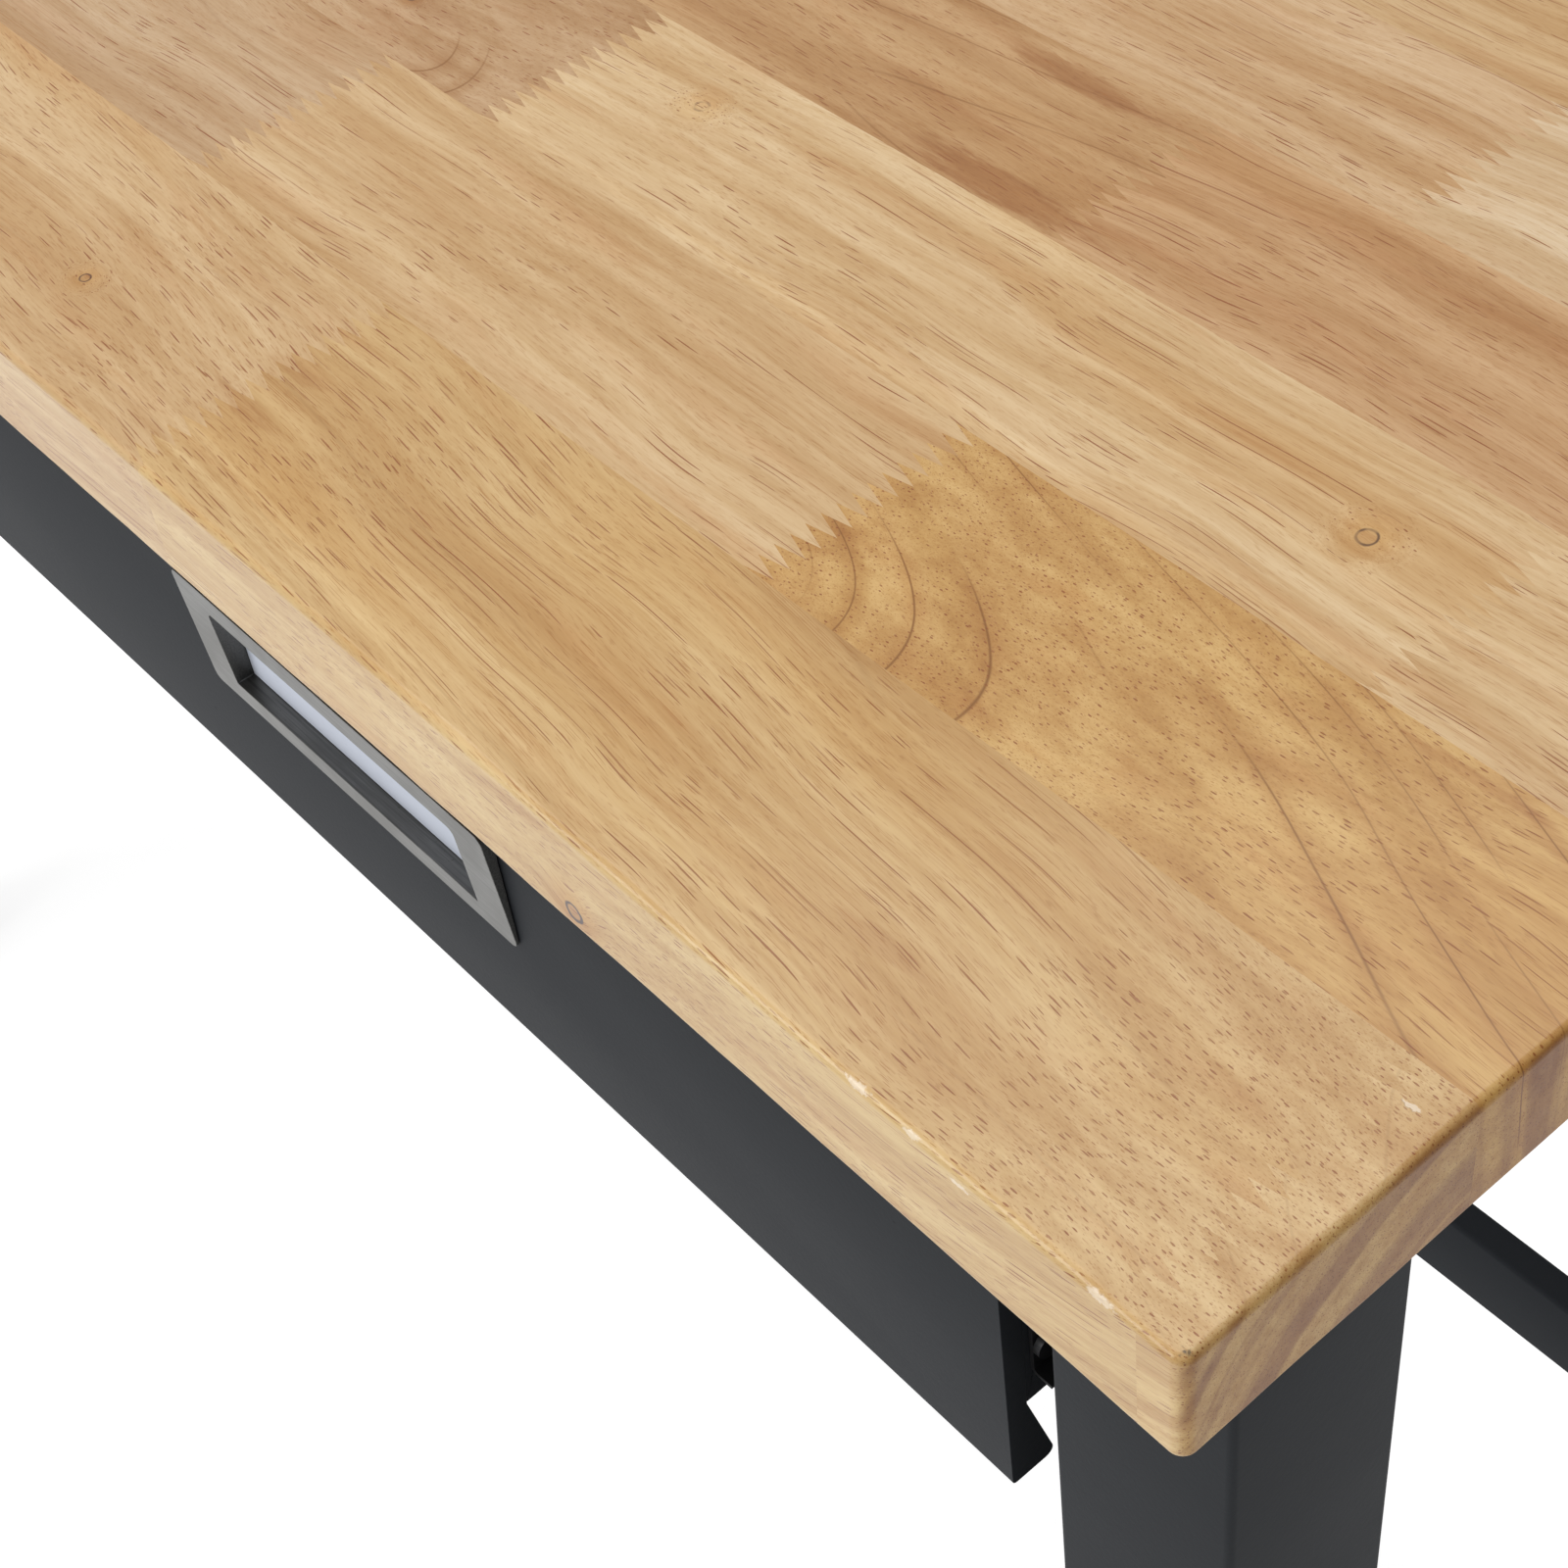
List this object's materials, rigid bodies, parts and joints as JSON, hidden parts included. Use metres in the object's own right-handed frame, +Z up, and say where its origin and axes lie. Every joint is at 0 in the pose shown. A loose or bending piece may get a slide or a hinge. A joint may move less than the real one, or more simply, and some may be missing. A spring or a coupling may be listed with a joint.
{
  "type": "workbench with drawers",
  "caption": "Workbench with a finger-jointed solid wood top on a dark steel tube frame, with lipped drawers on ball-bearing slides, leaning label holders and levelling feet.",
  "frame": {"origin": "on the floor, under the middle of the wooden top", "axes": "+X along the bench to the right of a person standing at its drawers, +Y from the front (drawer side) to the back, +Z up"},
  "size_m": [1.22, 0.508, 0.952],
  "materials": {
    "top_wood": "clear semi-gloss lacquer over edge-glued, finger-jointed rubberwood staves",
    "powder_coat": "satin dark grey powder coat",
    "slide_steel": "black electro-coated steel",
    "zinc": "bright zinc plate",
    "nickel": "satin nickel plate",
    "card": "plain blank card",
    "foot_plastic": "black nylon"
  },
  "bodies": {
    "frame": {"bench_top": "top_wood", "front_left_leg": "powder_coat", "front_right_leg": "powder_coat", "rear_left_leg": "powder_coat", "rear_right_leg": "powder_coat", "left_side_rail": "powder_coat", "right_side_rail": "powder_coat", "left_side_stretcher": "powder_coat", "right_side_stretcher": "powder_coat", "rear_rail": "powder_coat", "rear_crossbar": "powder_coat", "crossbar_bolt_left_lower": "zinc", "crossbar_bolt_left_upper": "zinc", "crossbar_bolt_right_lower": "zinc", "crossbar_bolt_right_upper": "zinc", "centre_hanger": "powder_coat", "left_slide_bracket": "powder_coat", "right_slide_bracket": "powder_coat", "front_left_foot_socket": "foot_plastic", "front_right_foot_socket": "foot_plastic", "rear_left_foot_socket": "foot_plastic", "rear_right_foot_socket": "foot_plastic", "left_outer_slide_fixed": "slide_steel", "left_inner_slide_fixed": "slide_steel", "right_outer_slide_fixed": "slide_steel", "right_inner_slide_fixed": "slide_steel"},
    "left_drawer": {"left_drawer_front": "powder_coat", "left_drawer_tray": "powder_coat", "left_label_holder": "nickel", "left_label_card": "card", "left_outer_slide_drawer": "slide_steel", "left_outer_slide_screw_front": "slide_steel", "left_outer_slide_screw_rear": "slide_steel", "left_inner_slide_drawer": "slide_steel", "left_inner_slide_screw_front": "slide_steel", "left_inner_slide_screw_rear": "slide_steel"},
    "left_slide_middles": {"left_outer_slide_middle": "slide_steel", "left_inner_slide_middle": "slide_steel"},
    "right_drawer": {"right_drawer_front": "powder_coat", "right_drawer_tray": "powder_coat", "right_label_holder": "nickel", "right_label_card": "card", "right_outer_slide_drawer": "slide_steel", "right_outer_slide_screw_front": "slide_steel", "right_outer_slide_screw_rear": "slide_steel", "right_inner_slide_drawer": "slide_steel", "right_inner_slide_screw_front": "slide_steel", "right_inner_slide_screw_rear": "slide_steel"},
    "right_slide_middles": {"right_outer_slide_middle": "slide_steel", "right_inner_slide_middle": "slide_steel"},
    "front_left_foot": {"front_left_foot_pad": "foot_plastic"},
    "front_right_foot": {"front_right_foot_pad": "foot_plastic"},
    "rear_left_foot": {"rear_left_foot_pad": "foot_plastic"},
    "rear_right_foot": {"rear_right_foot_pad": "foot_plastic"},
    "front_left_stem": {"front_left_foot_stem": "zinc"},
    "front_right_stem": {"front_right_foot_stem": "zinc"},
    "rear_left_stem": {"rear_left_foot_stem": "zinc"},
    "rear_right_stem": {"rear_right_foot_stem": "zinc"}
  },
  "joints": [
    {"name": "left_drawer_slide", "type": "slide", "parent": "frame", "child": "left_drawer", "axis": [0, -1, 0], "range_m": [0, 0.38]},
    {"name": "left_middle_slide", "type": "slide", "parent": "frame", "child": "left_slide_middles", "axis": [0, -1, 0], "range_m": [0, 0.19]},
    {"name": "right_drawer_slide", "type": "slide", "parent": "frame", "child": "right_drawer", "axis": [0, -1, 0], "range_m": [0, 0.38]},
    {"name": "right_middle_slide", "type": "slide", "parent": "frame", "child": "right_slide_middles", "axis": [0, -1, 0], "range_m": [0, 0.19]},
    {"name": "front_left_foot_height", "type": "slide", "parent": "frame", "child": "front_left_foot", "axis": [0, 0, -1], "range_m": [0, 0.012]},
    {"name": "front_right_foot_height", "type": "slide", "parent": "frame", "child": "front_right_foot", "axis": [0, 0, -1], "range_m": [0, 0.012]},
    {"name": "rear_left_foot_height", "type": "slide", "parent": "frame", "child": "rear_left_foot", "axis": [0, 0, -1], "range_m": [0, 0.012]},
    {"name": "rear_right_foot_height", "type": "slide", "parent": "frame", "child": "rear_right_foot", "axis": [0, 0, -1], "range_m": [0, 0.012]},
    {"name": "front_left_foot_turn", "type": "hinge", "parent": "front_left_foot", "child": "front_left_stem", "pos_m": [-0.5784, -0.2079, 0.03], "axis": [0, 0, -1], "range_deg": [0, 3460]},
    {"name": "front_right_foot_turn", "type": "hinge", "parent": "front_right_foot", "child": "front_right_stem", "pos_m": [0.5784, -0.2079, 0.03], "axis": [0, 0, -1], "range_deg": [0, 3460]},
    {"name": "rear_left_foot_turn", "type": "hinge", "parent": "rear_left_foot", "child": "rear_left_stem", "pos_m": [-0.5784, 0.2079, 0.03], "axis": [0, 0, -1], "range_deg": [0, 3460]},
    {"name": "rear_right_foot_turn", "type": "hinge", "parent": "rear_right_foot", "child": "rear_right_stem", "pos_m": [0.5784, 0.2079, 0.03], "axis": [0, 0, -1], "range_deg": [0, 3460]}
  ],
  "couplings": [
    {"joint": "left_middle_slide", "follows": "left_drawer_slide", "ratio": 0.5},
    {"joint": "right_middle_slide", "follows": "right_drawer_slide", "ratio": 0.5},
    {"joint": "front_left_foot_turn", "follows": "front_left_foot_height", "rad_per_m": 5026.5},
    {"joint": "front_right_foot_turn", "follows": "front_right_foot_height", "rad_per_m": 5026.5},
    {"joint": "rear_left_foot_turn", "follows": "rear_left_foot_height", "rad_per_m": 5026.5},
    {"joint": "rear_right_foot_turn", "follows": "rear_right_foot_height", "rad_per_m": 5026.5}
  ]
}
